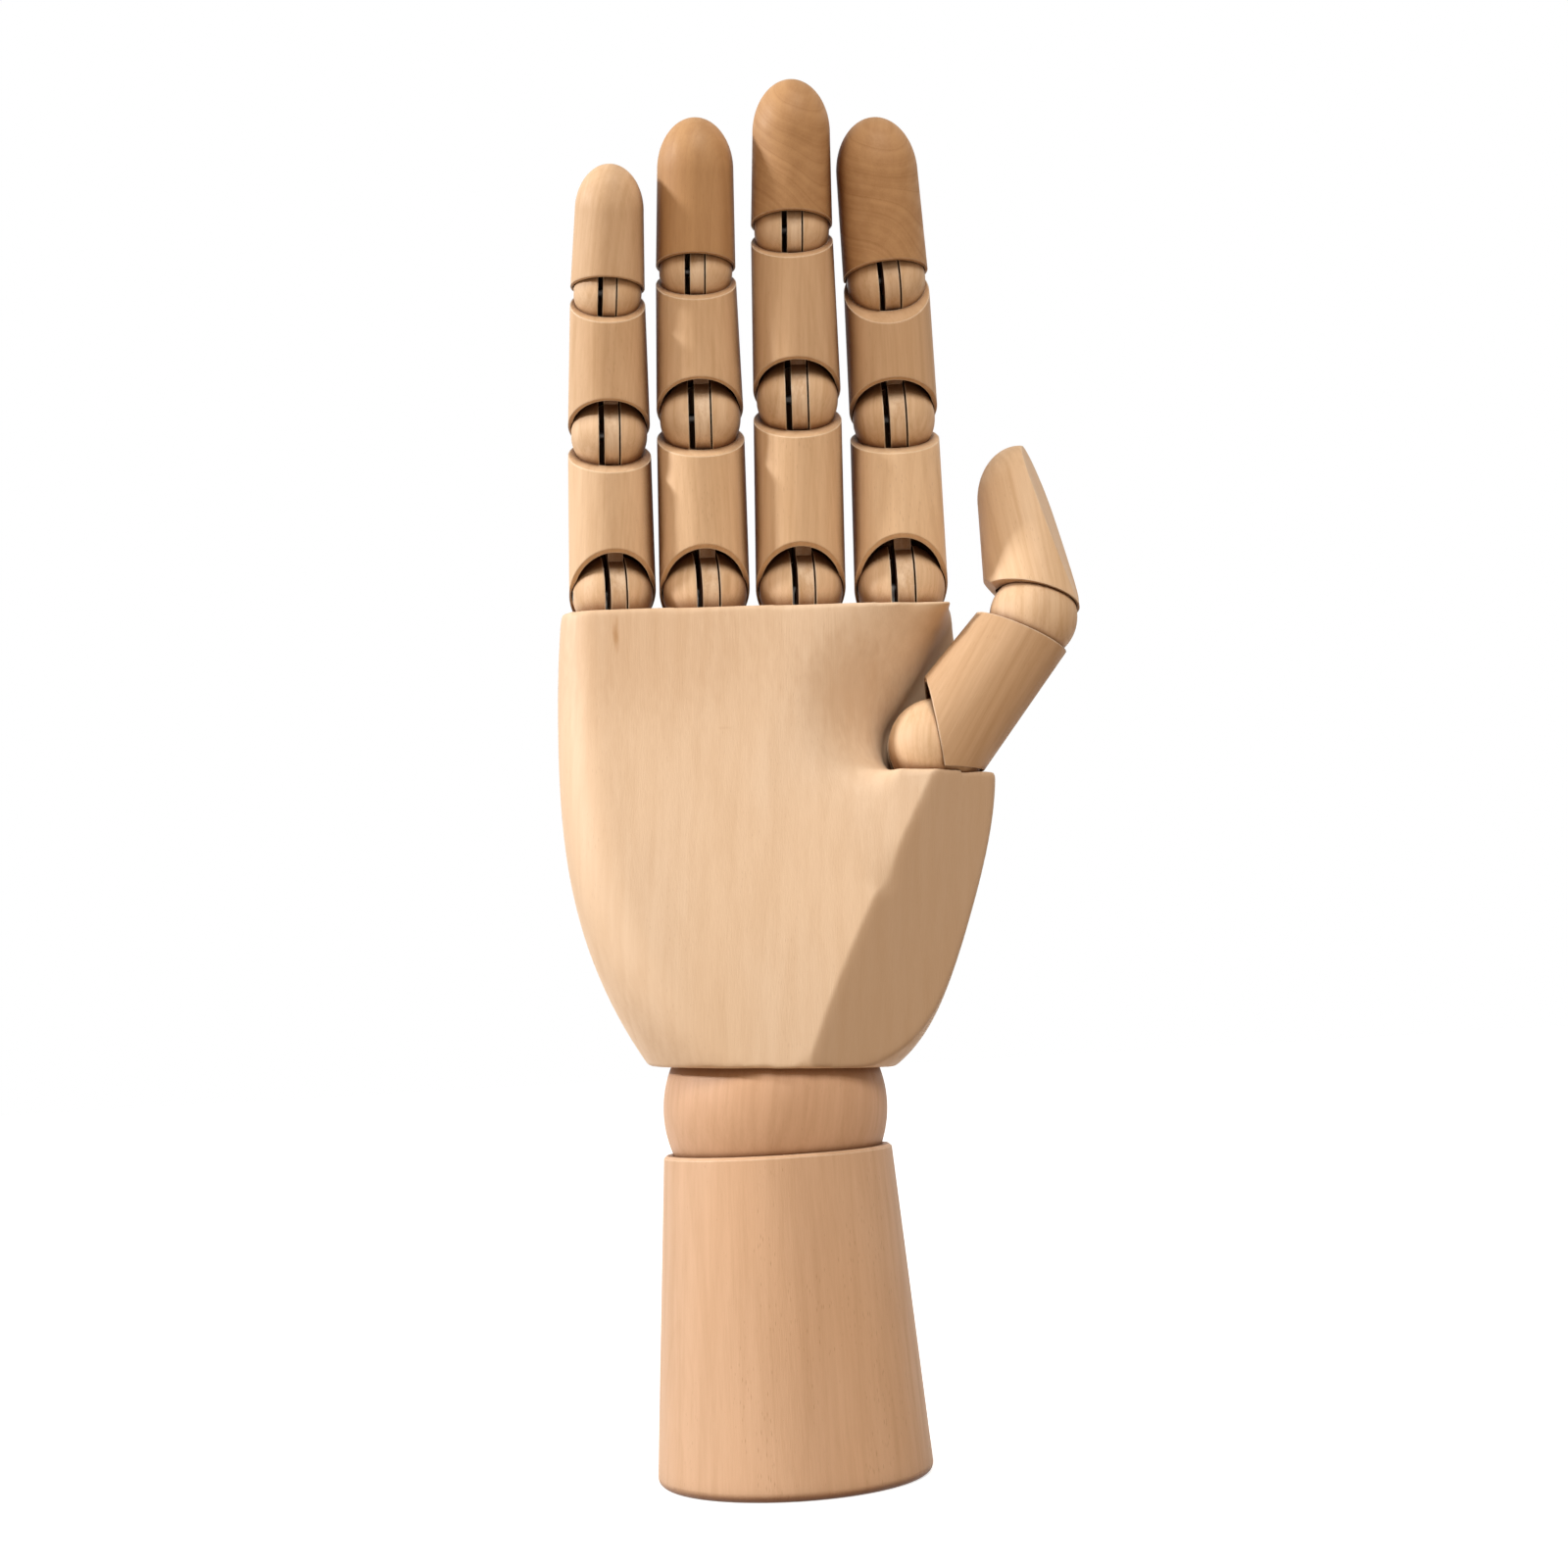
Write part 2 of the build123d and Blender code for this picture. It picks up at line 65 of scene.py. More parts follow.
# Studio: a plain pale floor and a white surround, lit by one lamp far round to the left,
# a broad soft lamp high in front, and a weak warm light from all round.
def add_node(tree, kind, inputs=None, **settings):
    """A new shader node; each input is a plain value or the socket that feeds it."""
    node = tree.nodes.new(kind)
    for name, value in settings.items():
        setattr(node, name, value)
    for name, value in (inputs or {}).items():
        if isinstance(value, bpy.types.NodeSocket):
            tree.links.new(value, node.inputs[name])
        else:
            node.inputs[name].default_value = value
    return node


def backdrop_ray(tree):
    """One where the ray comes from the camera, a mirror or a lens, and nought elsewhere."""
    path = add_node(tree, "ShaderNodeLightPath")
    mirror = add_node(
        tree,
        "ShaderNodeMath",
        {0: path.outputs["Is Camera Ray"], 1: path.outputs["Is Glossy Ray"]},
        operation="MAXIMUM",
    )
    lens = add_node(
        tree,
        "ShaderNodeMath",
        {0: mirror.outputs[0], 1: path.outputs["Is Transmission Ray"]},
        operation="MAXIMUM",
    )
    return lens.outputs[0]


surround_strength = 0.22
surround_colour = (1.0, 0.82, 0.64, 1)
world = bpy.data.worlds.new("surround")
world.use_nodes = True
bpy.context.scene.world = world
world_tree = world.node_tree
world_tree.nodes.clear()
shown = add_node(world_tree, "ShaderNodeBackground", {"Color": (1, 1, 1, 1), "Strength": 1.0})
soft = add_node(
    world_tree,
    "ShaderNodeBackground",
    {"Color": surround_colour, "Strength": surround_strength},
)
chosen = add_node(
    world_tree,
    "ShaderNodeMixShader",
    {0: backdrop_ray(world_tree), 1: soft.outputs[0], 2: shown.outputs[0]},
)
add_node(world_tree, "ShaderNodeOutputWorld", {"Surface": chosen.outputs[0]})

floor_half = 3.0
floor_glow = 0.70
floor_glow_reach = (0.25, 1.3)
floor_seen = (0.8, 0.8, 0.8, 1)
floor_bounce = (0.40, 0.30, 0.21, 1)
floor_mesh = bpy.data.meshes.new("floor")
floor_corners = [(-1, -1), (1, -1), (1, 1), (-1, 1)]
floor_mesh.from_pydata([(x * floor_half, y * floor_half, 0) for x, y in floor_corners], [], [(0, 1, 2, 3)])
floor_paint = bpy.data.materials.new("floor_paint")
floor_paint.use_nodes = True
floor_tree = floor_paint.node_tree
floor_tree.nodes.clear()
matt = add_node(floor_tree, "ShaderNodeBsdfDiffuse", {"Color": floor_seen})
dim = add_node(floor_tree, "ShaderNodeBsdfDiffuse", {"Color": floor_bounce})
floor_place = add_node(floor_tree, "ShaderNodeTexCoord").outputs["Object"]
floor_away = add_node(floor_tree, "ShaderNodeVectorMath", {0: floor_place}, operation="LENGTH")
floor_rise = add_node(
    floor_tree,
    "ShaderNodeMapRange",
    {
        "Value": floor_away.outputs["Value"],
        "From Min": floor_glow_reach[0],
        "From Max": floor_glow_reach[1],
        "To Min": floor_glow,
        "To Max": 1.0,
    },
)
glow = add_node(
    floor_tree,
    "ShaderNodeEmission",
    {"Color": (1, 1, 1, 1), "Strength": floor_rise.outputs["Result"]},
)
both = add_node(floor_tree, "ShaderNodeAddShader", {0: matt.outputs[0], 1: glow.outputs[0]})
seen = add_node(
    floor_tree,
    "ShaderNodeMixShader",
    {0: backdrop_ray(floor_tree), 1: dim.outputs[0], 2: both.outputs[0]},
)
add_node(floor_tree, "ShaderNodeOutputMaterial", {"Surface": seen.outputs[0]})
floor_mesh.materials.append(floor_paint)
floor = bpy.data.objects.new("floor", floor_mesh)
bpy.context.scene.collection.objects.link(floor)


def add_lamp(name, place, aim, size, power, colour):
    """A square lamp at place, facing aim."""
    data = bpy.data.lights.new(name, "AREA")
    data.shape = "SQUARE"
    data.size = size
    data.energy = power
    data.color = colour
    lamp = bpy.data.objects.new(name, data)
    toward = Vector(aim) - Vector(place)
    lamp.matrix_world = Matrix.Translation(place) @ toward.to_track_quat("-Z", "Y").to_matrix().to_4x4()
    bpy.context.scene.collection.objects.link(lamp)


key_place = (-1.349, -0.238, 0.75)
key_aim = (0, 0, 0.14)
key_size = 0.14
key_power = 19.3
front_place = (0.25, -1.09, 1.13)
front_aim = (0, 0, 0.12)
front_size = 0.6
front_power = 14.8
front_colour = (1.0, 0.925, 0.84)
add_lamp("key_lamp", key_place, key_aim, key_size, key_power, (1.0, 1.0, 1.0))
add_lamp("front_lamp", front_place, front_aim, front_size, front_power, front_colour)

# Forearm: a turned cone of pale hardwood that is also the stand, sanded and left bare.
# Its rim is broken by hand, and the grain runs up it.
grain = bpy.data.node_groups.new("wood_grain", "ShaderNodeTree")
for socket_name, socket_kind in (
    ("Place", "NodeSocketVector"),
    ("Ring Width", "NodeSocketFloat"),
    ("Ring Contrast", "NodeSocketFloat"),
    ("Streak Contrast", "NodeSocketFloat"),
    ("Pore Contrast", "NodeSocketFloat"),
):
    grain.interface.new_socket(socket_name, in_out="INPUT", socket_type=socket_kind)
for socket_name in ("Tone", "Pores", "Height", "Blotch"):
    grain.interface.new_socket(socket_name, in_out="OUTPUT", socket_type="NodeSocketFloat")
grain_in = add_node(grain, "NodeGroupInput")


def scaled(tree, vector, scale):
    """The vector with each axis times its own scale."""
    node = add_node(tree, "ShaderNodeVectorMath", {0: vector, 1: scale}, operation="MULTIPLY")
    return node.outputs[0]


def maths(tree, operation, a, b=0.0):
    """One sum of two values or sockets."""
    return add_node(tree, "ShaderNodeMath", {0: a, 1: b}, operation=operation).outputs[0]


def noise(tree, vector, detail=2.0, roughness=0.5):
    """Plain noise between nought and one, at one wave a unit."""
    node = add_node(
        tree,
        "ShaderNodeTexNoise",
        {"Vector": vector, "Scale": 1.0, "Detail": detail, "Roughness": roughness},
    )
    return node


def spread(tree, value, low, high, new_low=0.0, new_high=1.0):
    """The value's span from low to high, eased onto the new span."""
    node = add_node(
        tree,
        "ShaderNodeMapRange",
        {"Value": value, "From Min": low, "From Max": high, "To Min": new_low, "To Max": new_high},
        interpolation_type="SMOOTHSTEP",
    )
    return node.outputs["Result"]


# The waves are counted in a millimetre, across, across and along the grain.
wander_waves = (0.05, 0.05, 0.012)
wander_reach = (7.0, 7.0, 0.0)
streak_waves = (0.42, 0.42, 0.014)
fibre_waves = (3.6, 3.6, 0.14)
pore_waves = (2.3, 2.3, 0.34)
pore_patch_waves = (0.16, 0.16, 0.03)
blotch_waves = (0.045, 0.045, 0.02)
ring_line_share = 0.45
fibre_share = 0.35
place = grain_in.outputs["Place"]
wander = noise(grain, scaled(grain, place, wander_waves), detail=1.0)
wander_shift = add_node(
    grain,
    "ShaderNodeVectorMath",
    {0: wander.outputs["Color"], 1: wander_reach, 2: place},
    operation="MULTIPLY_ADD",
)
flat_place = scaled(grain, wander_shift.outputs[0], (1.0, 1.0, 0.0))
from_pith = add_node(grain, "ShaderNodeVectorMath", {0: flat_place}, operation="LENGTH")
ring_place = maths(grain, "DIVIDE", from_pith.outputs["Value"], grain_in.outputs["Ring Width"])
ring_noise = add_node(
    grain,
    "ShaderNodeTexNoise",
    {"W": ring_place, "Scale": 1.0, "Detail": 2.0, "Roughness": 0.6},
    noise_dimensions="1D",
)
ring_fade = maths(grain, "FRACT", maths(grain, "ADD", ring_place, ring_noise.outputs["Fac"]))
ring_line = spread(grain, ring_fade, 0.55, 0.97)
ring_soft = spread(grain, ring_noise.outputs["Fac"], 0.35, 0.68)
rings = maths(
    grain,
    "ADD",
    maths(grain, "MULTIPLY", ring_line, ring_line_share),
    maths(grain, "MULTIPLY", ring_soft, 1 - ring_line_share),
)
streak_noise = noise(grain, scaled(grain, place, streak_waves), detail=4.0, roughness=0.62)
streaks = spread(grain, streak_noise.outputs["Fac"], 0.36, 0.66)
fibre_noise = noise(grain, scaled(grain, place, fibre_waves), detail=3.0, roughness=0.6)
fibres = spread(grain, fibre_noise.outputs["Fac"], 0.3, 0.7)
pore_cells = add_node(
    grain,
    "ShaderNodeTexVoronoi",
    {"Vector": scaled(grain, place, pore_waves), "Scale": 1.0, "Randomness": 1.0},
)
pore_patches = noise(grain, scaled(grain, place, pore_patch_waves), detail=1.0)
pore_size = spread(grain, pore_patches.outputs["Fac"], 0.42, 0.68, 0.06, 0.24)
pores = maths(
    grain,
    "SUBTRACT",
    1.0,
    add_node(
        grain,
        "ShaderNodeMapRange",
        {"Value": pore_cells.outputs["Distance"], "From Min": 0.03, "From Max": pore_size},
    ).outputs["Result"],
)
pores = maths(grain, "MULTIPLY", pores, grain_in.outputs["Pore Contrast"])
ring_loss = maths(grain, "MULTIPLY", rings, grain_in.outputs["Ring Contrast"])
streak_loss = maths(grain, "MULTIPLY", streaks, grain_in.outputs["Streak Contrast"])
fibre_contrast = maths(grain, "MULTIPLY", grain_in.outputs["Streak Contrast"], fibre_share)
fibre_loss = maths(grain, "MULTIPLY", fibres, fibre_contrast)
length_loss = maths(grain, "ADD", streak_loss, fibre_loss)
tone = maths(grain, "SUBTRACT", 1.0, maths(grain, "ADD", ring_loss, length_loss))
blotch_noise = noise(grain, scaled(grain, place, blotch_waves), detail=2.0)
height = maths(
    grain,
    "ADD",
    maths(grain, "MULTIPLY", fibres, 0.35),
    maths(grain, "ADD", maths(grain, "MULTIPLY", tone, 0.4), maths(grain, "MULTIPLY", pores, -0.8)),
)
add_node(
    grain,
    "NodeGroupOutput",
    {
        "Tone": tone,
        "Pores": pores,
        "Height": height,
        "Blotch": spread(grain, blotch_noise.outputs["Fac"], 0.35, 0.65),
    },
)

corner_reach = 0.006
edge = bpy.data.node_groups.new("rim_highlight_and_recess_shade", "ShaderNodeTree")
edge.interface.new_socket("Place", in_out="INPUT", socket_type="NodeSocketVector")
edge.interface.new_socket("Width", in_out="INPUT", socket_type="NodeSocketFloat")
edge.interface.new_socket("Edge", in_out="OUTPUT", socket_type="NodeSocketFloat")
edge.interface.new_socket("Painted Shade", in_out="OUTPUT", socket_type="NodeSocketFloat")
edge.interface.new_socket("Normal", in_out="OUTPUT", socket_type="NodeSocketVector")
edge_in = add_node(edge, "NodeGroupInput")
rounded = add_node(edge, "ShaderNodeBevel", {"Radius": edge_in.outputs["Width"]}, samples=6)
face = add_node(edge, "ShaderNodeNewGeometry")
agreement = add_node(
    edge,
    "ShaderNodeVectorMath",
    {0: rounded.outputs[0], 1: face.outputs["Normal"]},
    operation="DOT_PRODUCT",
)
edge_noise = noise(edge, scaled(edge, edge_in.outputs["Place"], (0.5, 0.5, 0.5)), detail=3.0)
edge_reach = spread(edge, edge_noise.outputs["Fac"], 0.2, 0.75, 0.55, 1.0)
# Pale rims: partly wear, partly a painted highlight where light catches the rounded edges.
edge_mask = spread(edge, agreement.outputs["Value"], 0.995, 0.86)
# Painted shade: ambient occlusion within corner_reach darkens corners, creases and recesses in the colour.
shade = add_node(edge, "ShaderNodeAmbientOcclusion", {"Distance": corner_reach}, samples=6)
add_node(
    edge,
    "NodeGroupOutput",
    {
        "Edge": maths(edge, "MULTIPLY", edge_mask, edge_reach),
        "Painted Shade": spread(edge, shade.outputs["AO"], 0.8, 0.3),
        "Normal": rounded.outputs[0],
    },
)

# Patch group: a ragged darker patch, used for pitch flecks and for painted shade.
stain_and_shade_patch = bpy.data.node_groups.new("stain_and_shade_patch", "ShaderNodeTree")
for socket_name in ("Place", "Centre", "Reach"):
    stain_and_shade_patch.interface.new_socket(socket_name, in_out="INPUT", socket_type="NodeSocketVector")
stain_and_shade_patch.interface.new_socket("Mark", in_out="OUTPUT", socket_type="NodeSocketFloat")
patch_in = add_node(stain_and_shade_patch, "NodeGroupInput")
patch_ragged = noise(stain_and_shade_patch, scaled(stain_and_shade_patch, patch_in.outputs["Place"], (900, 900, 300)), detail=2.0)
from_centre = add_node(
    stain_and_shade_patch,
    "ShaderNodeVectorMath",
    {0: patch_in.outputs["Place"], 1: patch_in.outputs["Centre"]},
    operation="SUBTRACT",
)
in_reach = add_node(
    stain_and_shade_patch,
    "ShaderNodeVectorMath",
    {0: from_centre.outputs[0], 1: patch_in.outputs["Reach"]},
    operation="DIVIDE",
)
off_centre = add_node(stain_and_shade_patch, "ShaderNodeVectorMath", {0: in_reach.outputs[0]}, operation="LENGTH")
ragged_reach = maths(
    stain_and_shade_patch,
    "ADD",
    off_centre.outputs["Value"],
    maths(stain_and_shade_patch, "MULTIPLY", patch_ragged.outputs["Fac"], 0.8),
)
add_node(stain_and_shade_patch, "NodeGroupOutput", {"Mark": spread(stain_and_shade_patch, ragged_reach, 1.35, 0.5)})

edge_width = 0.00045
rim_wear_and_highlight_strength = 0.85
# Pale rim colour: partly wear, partly painted highlight.
rim_wear_and_highlight = (1.0, 0.86, 0.68, 1)
# Dark brown painted into corners and recesses as shade.
painted_shade_brown = (0.16, 0.055, 0.014, 1)
pore_strength = 0.6
pore_brown = (0.34, 0.17, 0.07, 1)
# Brown for the palm's patches: pitch flecks, and painted shade in the hollow beside the thumb.
pitch_and_shade_brown = (0.46, 0.235, 0.09, 1)
# Brown painted onto the palm's slanting flat as shade.
flat_shade_brown = (0.40, 0.245, 0.135, 1)
flat_shade_fade = (0.0008, 0.0002)
warm_shares = (0.97, 0.90, 0.80)
wood_roughness = (0.62, 0.5)
wood_specular = 0.32
bump_strength = 0.35
bump_height = 0.00012
pith_draws = np.random.default_rng(12)


def add_group(tree, group, inputs):
    """A node that holds the group, with its inputs set or linked."""
    return add_node(tree, "ShaderNodeGroup", inputs, node_tree=group)


def blended(tree, share, first, second):
    """The first colour with that share of the second one over it."""
    mix = add_node(tree, "ShaderNodeMix", {0: share, 6: first, 7: second}, data_type="RGBA")
    return mix.outputs[2]


def grain_turn(piece_name, axis, lean):
    """The turn that brings the piece's own long way, or the given axis, leaned over, upright."""
    if axis is None:
        mesh = nodes[piece_name].data
        points = np.empty(len(mesh.vertices) * 3)
        mesh.vertices.foreach_get("co", points)
        points = points.reshape(-1, 3)
        ways = np.linalg.svd(points - points.mean(axis=0), full_matrices=False)[2]
        axis = ways[0] * np.sign(ways[0][2] or 1.0)
    axis = Vector(axis).normalized() + Vector(lean)
    return axis.rotation_difference(Vector((0, 0, 1))).to_euler()


def wood(piece_name, axis=None, lean=(0, 0, 0), pith=None, pale=(0.80, 0.572, 0.37),
         deep=(0.58, 0.362, 0.19), ring_width=1.6, rings=0.24, streaks=0.28, pores=0.5,
         blotch=0.35, painted_shade=0.85, marks=(), shaded_flat=None):
    """Pale hardwood for one piece, with its pith at that many millimetres from the middle.
    Marks are darker patches, each a centre, reach and strength, some of them painted shade.
    Corners and recesses are browned as painted shade at the given strength, and the slanting
    flat, given as its facing, distance from the origin and strength, is painted darker as shade."""
    draw = pith_draws.uniform(-1, 1, 4)
    if pith is None:
        pith = (38 * np.sign(draw[0]) + 26 * draw[0], 30 * draw[1])
    material = bpy.data.materials.new(f"{piece_name}_wood")
    material.use_nodes = True
    tree = material.node_tree
    tree.nodes.clear()
    low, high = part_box(piece_name)
    turn = grain_turn(piece_name, axis, lean)
    middle = (low + high) / 2 * 1000
    middle.rotate(turn)
    coordinates = add_node(tree, "ShaderNodeTexCoord")
    placed = add_node(
        tree,
        "ShaderNodeMapping",
        {
            "Vector": coordinates.outputs["Object"],
            "Location": (pith[0] - middle.x, pith[1] - middle.y, 300 * draw[2]),
            "Rotation": turn,
            "Scale": (1000, 1000, 1000),
        },
    )
    figure = add_group(
        tree,
        grain,
        {
            "Place": placed.outputs[0],
            "Ring Width": ring_width,
            "Ring Contrast": rings,
            "Streak Contrast": streaks,
            "Pore Contrast": pores,
        },
    )
    # Edge group node: pale rims, partly wear and partly painted highlight, and painted shade in recesses.
    sanded = add_group(tree, edge, {"Place": placed.outputs[0], "Width": edge_width})
    warm = tuple(channel * share for channel, share in zip(pale, warm_shares))
    blotched = maths(tree, "MULTIPLY", figure.outputs["Blotch"], blotch)
    body = blended(tree, blotched, (*pale, 1), (*warm, 1))
    grained = blended(tree, figure.outputs["Tone"], (*deep, 1), body)
    pored = maths(tree, "MULTIPLY", figure.outputs["Pores"], pore_strength)
    marked = blended(tree, pored, grained, pore_brown)
    # Darker patches: some pitch flecks, some painted shade.
    for centre, reach, strength in marks:
        mark = add_group(
            tree,
            stain_and_shade_patch,
            {"Place": coordinates.outputs["Object"], "Centre": centre, "Reach": reach},
        )
        patched = maths(tree, "MULTIPLY", mark.outputs["Mark"], strength)
        marked = blended(tree, patched, marked, pitch_and_shade_brown)
    # Painted shade: the slanting flat, which faces away from the lamps, is painted browner in place of its
    # shade.
    if shaded_flat:
        facing, depth, strength = shaded_flat
        along = add_node(
            tree,
            "ShaderNodeVectorMath",
            {0: coordinates.outputs["Object"], 1: facing},
            operation="DOT_PRODUCT",
        )
        on_shaded_flat = spread(tree, along.outputs["Value"], depth - flat_shade_fade[0], depth - flat_shade_fade[1])
        marked = blended(tree, maths(tree, "MULTIPLY", on_shaded_flat, strength), marked, flat_shade_brown)
    # Painted shade: corners and recesses are browned by how enclosed they are.
    shaded = maths(tree, "MULTIPLY", sanded.outputs["Painted Shade"], painted_shade)
    shade_painted = blended(tree, shaded, marked, painted_shade_brown)
    # Pale rims: partly wear, partly painted highlight.
    worn_and_highlit = maths(tree, "MULTIPLY", sanded.outputs["Edge"], rim_wear_and_highlight_strength)
    finished = blended(tree, worn_and_highlit, shade_painted, rim_wear_and_highlight)
    bump = add_node(
        tree,
        "ShaderNodeBump",
        {
            "Height": figure.outputs["Height"],
            "Strength": bump_strength,
            "Distance": bump_height,
            "Normal": sanded.outputs["Normal"],
        },
    )
    shader = add_node(
        tree,
        "ShaderNodeBsdfPrincipled",
        {
            "Base Color": finished,
            "Roughness": spread(tree, figure.outputs["Tone"], 0.3, 1.0, *wood_roughness),
            "Specular IOR Level": wood_specular,
            "Normal": bump.outputs[0],
        },
    )
    add_node(tree, "ShaderNodeOutputMaterial", {"Surface": shader.outputs[0]})
    mesh = nodes[piece_name].data
    mesh.materials.clear()
    mesh.materials.append(material)


wood("forearm", axis=(0, 0, 1), pith=(30, 16), pale=(0.72, 0.478, 0.314), deep=(0.52, 0.315, 0.174),
     ring_width=2.4, rings=0.16, streaks=0.26, pores=0.9)

# Wrist spring: steel wire wound close, sealed inside the ball and both cups.
steel_dark = (0.16, 0.155, 0.15, 1)
steel_light = (0.27, 0.26, 0.25, 1)
steel = bpy.data.materials.new("steel_wire")
steel.use_nodes = True
steel_tree = steel.node_tree
steel_tree.nodes.clear()
steel_place = add_node(steel_tree, "ShaderNodeTexCoord").outputs["Object"]
steel_noise = noise(steel_tree, scaled(steel_tree, steel_place, (900, 900, 900)), detail=3.0)
steel_turns = add_node(
    steel_tree,
    "ShaderNodeTexWave",
    {"Vector": steel_place, "Scale": 110.0, "Distortion": 0.3},
    bands_direction="Z",
)
steel_colour = blended(steel_tree, steel_noise.outputs["Fac"], steel_dark, steel_light)
steel_bump = add_node(
    steel_tree,
    "ShaderNodeBump",
    {"Height": steel_turns.outputs["Fac"], "Strength": 0.4, "Distance": 0.0003},
)
steel_shader = add_node(
    steel_tree,
    "ShaderNodeBsdfPrincipled",
    {
        "Base Color": steel_colour,
        "Metallic": 1.0,
        "Roughness": spread(steel_tree, steel_noise.outputs["Fac"], 0.3, 0.7, 0.42, 0.58),
        "Normal": steel_bump.outputs[0],
    },
)
add_node(steel_tree, "ShaderNodeOutputMaterial", {"Surface": steel_shader.outputs[0]})
nodes["wrist_spring"].data.materials.clear()
nodes["wrist_spring"].data.materials.append(steel)

# Wrist ball: turned from a browner piece of the same wood, with its grain a little tilted.
wood("wrist_ball", axis=(0.15, 0.1, 1), pith=(-24, 12), pale=(0.69, 0.44, 0.285),
     deep=(0.50, 0.289, 0.157), rings=0.16)

# Palm: one carved block, bandsawn to its outline and sanded by hand, with the grain upright.
# The sanding eases every edge, and runs the hollow beside the thumb softly into the front.
palm_voxel = 0.0006
palm_passes = 3
hollow_passes = 300
hollow_middle = np.array((0.0355, -0.0323, 0.1403))
hollow_reach = (0.024, 0.037)
shelf_reach = (0.1315, 0.1345)
shelf_clear = (0.0265, 0.0205)
top_reach = (0.1605, 0.1575)
front_reach = (0.0, -0.004)
hollow_fade = 0.003


def ease(value, low, high):
    """A smooth step from nought at low to one at high: 3t^2 - 2t^3, with t held in 0 to 1."""
    step = np.clip((value - low) / (high - low), 0, 1)
    return step * step * (3 - 2 * step)


def sanded_palm():
    """The palm's own surface on an even net of squares, each point drawn toward the mean
    of its neighbours: a little all over, and far more near the hollow's rim."""
    source = bpy.data.objects.new("palm_block", nodes["palm"].data.copy())
    bpy.context.scene.collection.objects.link(source)
    weld = source.modifiers.new("weld", "WELD")
    weld.merge_threshold = 1e-6
    even = source.modifiers.new("even", "REMESH")
    even.mode = "VOXEL"
    even.voxel_size = palm_voxel
    graph = bpy.context.evaluated_depsgraph_get()
    mesh = bpy.data.meshes.new_from_object(source.evaluated_get(graph))
    bpy.data.objects.remove(source)
    points = np.empty(len(mesh.vertices) * 3)
    mesh.vertices.foreach_get("co", points)
    points = points.reshape(-1, 3)
    edges = np.empty(len(mesh.edges) * 2, dtype=np.int64)
    mesh.edges.foreach_get("vertices", edges)
    first, second = edges.reshape(-1, 2).T
    number = np.bincount(first, minlength=len(points)) + np.bincount(second, minlength=len(points))
    away = np.linalg.norm(points - hollow_middle, axis=1)
    near_hollow = (
        ease(away, hollow_reach[1] + hollow_fade, hollow_reach[1])
        * ease(away, hollow_reach[0] - hollow_fade, hollow_reach[0])
        * np.maximum(ease(points[:, 2], *shelf_reach), ease(points[:, 0], *shelf_clear))
        * ease(points[:, 2], *top_reach)
        * ease(points[:, 1], *front_reach)
    )
    for turn in range(hollow_passes):
        pull = 0.5 * (near_hollow if turn >= palm_passes else np.ones(len(points)))
        mean = np.empty_like(points)
        for way in range(3):
            mean[:, way] = np.bincount(first, points[second, way], len(points))
            mean[:, way] += np.bincount(second, points[first, way], len(points))
        points += pull[:, None] * (mean / number[:, None] - points)
    mesh.vertices.foreach_set("co", points.ravel())
    mesh.shade_smooth()
    mesh.name = "sanded_palm"
    return mesh


palm = bpy.data.objects.new("sanded_palm", sanded_palm())
bpy.context.scene.collection.objects.link(palm)
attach(palm, "palm")
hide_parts("palm")
wood("palm", axis=(0.05, 0, 1), pith=(-70, 46), pale=(0.84, 0.645, 0.465), deep=(0.66, 0.45, 0.275),
     ring_width=2.8, rings=0.14, streaks=0.22, pores=0.3, painted_shade=0.1,
     marks=[
         # A broad darker patch over the palm's upper left.
         ((-0.018, -0.012, 0.156), (0.036, 0.02, 0.024), 0.2),
         # Three small dark flecks.
         ((-0.0245, -0.012, 0.1575), (0.0009, 0.004, 0.0045), 0.75),
         ((0.0164, -0.0125, 0.1448), (0.0008, 0.003, 0.0011), 0.8),
         ((-0.0054, -0.0145, 0.1385), (0.0022, 0.003, 0.0007), 0.35),
         # Painted shade: a broad darker patch over the hollow beside the thumb, in place of its shade.
         ((0.0195, -0.010, 0.1445), (0.016, 0.03, 0.016), 0.3),
     ],
     # The slanting flat on the right is painted darker as shade.
     shaded_flat=((0.4937, -0.8609, -0.1227), 0.01303, 0.58))
palm.data.materials.clear()
palm.data.materials.append(bpy.data.materials["palm_wood"])

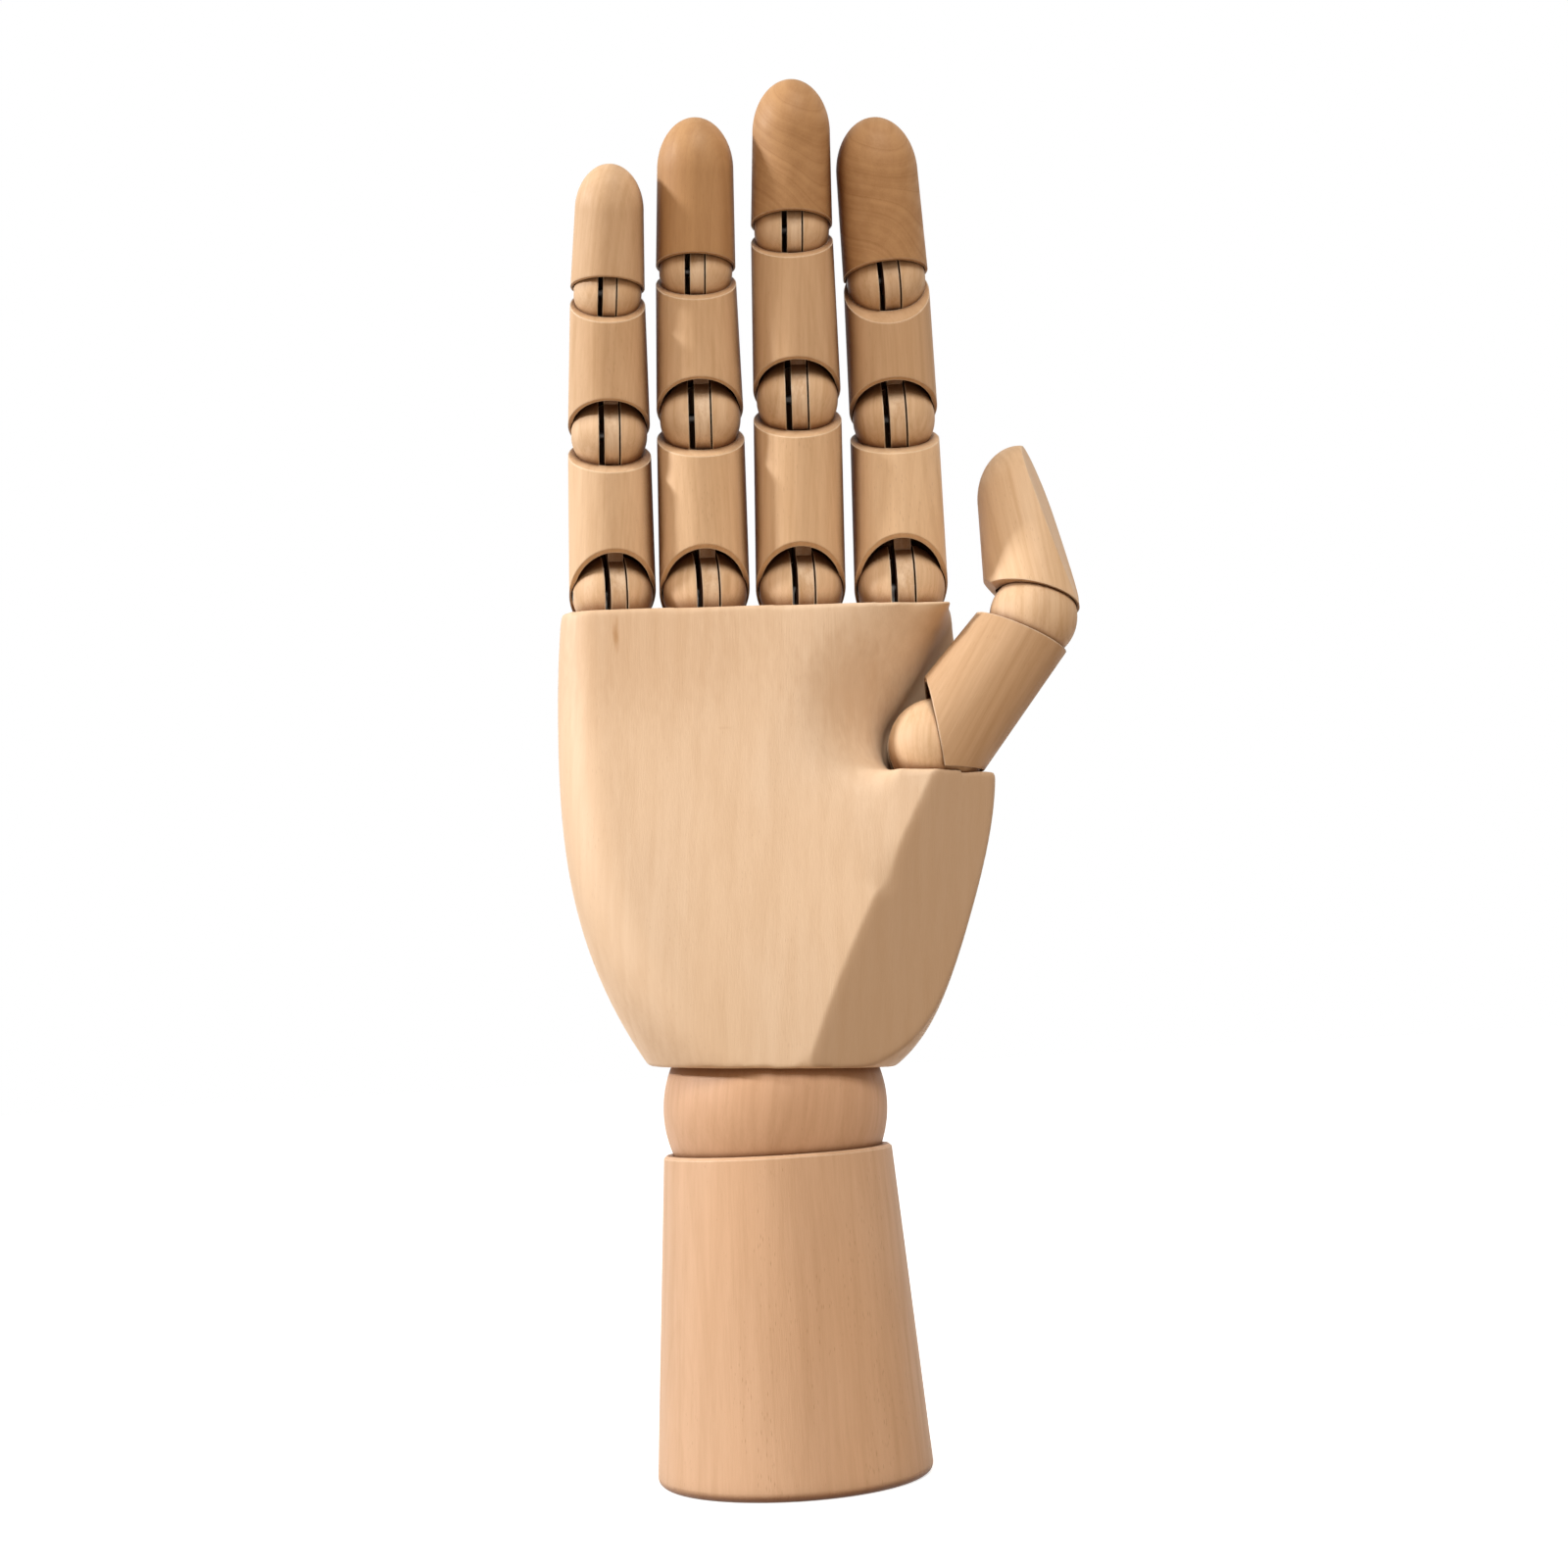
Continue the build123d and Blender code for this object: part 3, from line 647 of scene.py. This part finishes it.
# Fingers and thumb: turned phalanges and balls, tongues let into the phalanges, steel pins.
# Each phalanx comes from its own stick, some browner, and the rings show on two fingertips.
# The tones are partly the sticks' own and partly painted light and shade: the first phalanges
# are lighter, and the thumb's first phalanx and the ring, middle and index tips darker and browner.
stick_tone_light_and_shade = {
    "pinky_tip": 0.93,
    "pinky_second_phalanx": 0.94,
    "ring_second_phalanx": 0.94,
    "index_first_phalanx": 1.16,
    "ring_first_phalanx": 1.06,
    "middle_first_phalanx": 1.04,
    "pinky_first_phalanx": 1.06,
    "middle_second_phalanx": 0.88,
    "index_second_phalanx": 0.86,
    "thumb_first_phalanx": 0.80,
    "thumb_tip": 1.06,
}
tone_powers = np.array((1.0, 1.25, 1.5))
stick_pale = np.array((0.80, 0.572, 0.37))
stick_deep = np.array((0.58, 0.362, 0.19))
# Browner tips: partly the wood's own colour, partly painted shade on tips that lean forward.
tip_brown_and_shade_pale = np.array((0.56, 0.33, 0.16))
tip_brown_and_shade_deep = np.array((0.40, 0.21, 0.09))
for piece_name in sorted(nodes):
    if piece_name.endswith(("phalanx", "tip")):
        tone = stick_tone_light_and_shade.get(piece_name, 1.0) ** tone_powers
        looks = {"pale": tuple(stick_pale * tone), "deep": tuple(stick_deep * tone), "painted_shade": 1.0}
        if piece_name in ("ring_tip", "middle_tip", "index_tip"):
            looks |= {"pale": tuple(tip_brown_and_shade_pale), "deep": tuple(tip_brown_and_shade_deep)}
        if piece_name in ("middle_tip", "index_tip"):
            wood(piece_name, lean=(0.1, 1.2, 0), pith=(1, -16), ring_width=2.2, rings=0.6, **looks)
        else:
            wood(piece_name, **looks)
    elif piece_name.endswith("_ball") and piece_name != "wrist_ball":
        wood(piece_name, axis=(0.1, 0.15, 1), rings=0.25, streaks=0.4, pale=(0.80, 0.583, 0.386))
    elif piece_name.endswith("tongue"):
        wood(piece_name, pale=(0.88, 0.70, 0.52), rings=0.2, streaks=0.5)
    elif piece_name.endswith(("pin", "tie")):
        nodes[piece_name].data.materials.clear()
        nodes[piece_name].data.materials.append(steel)
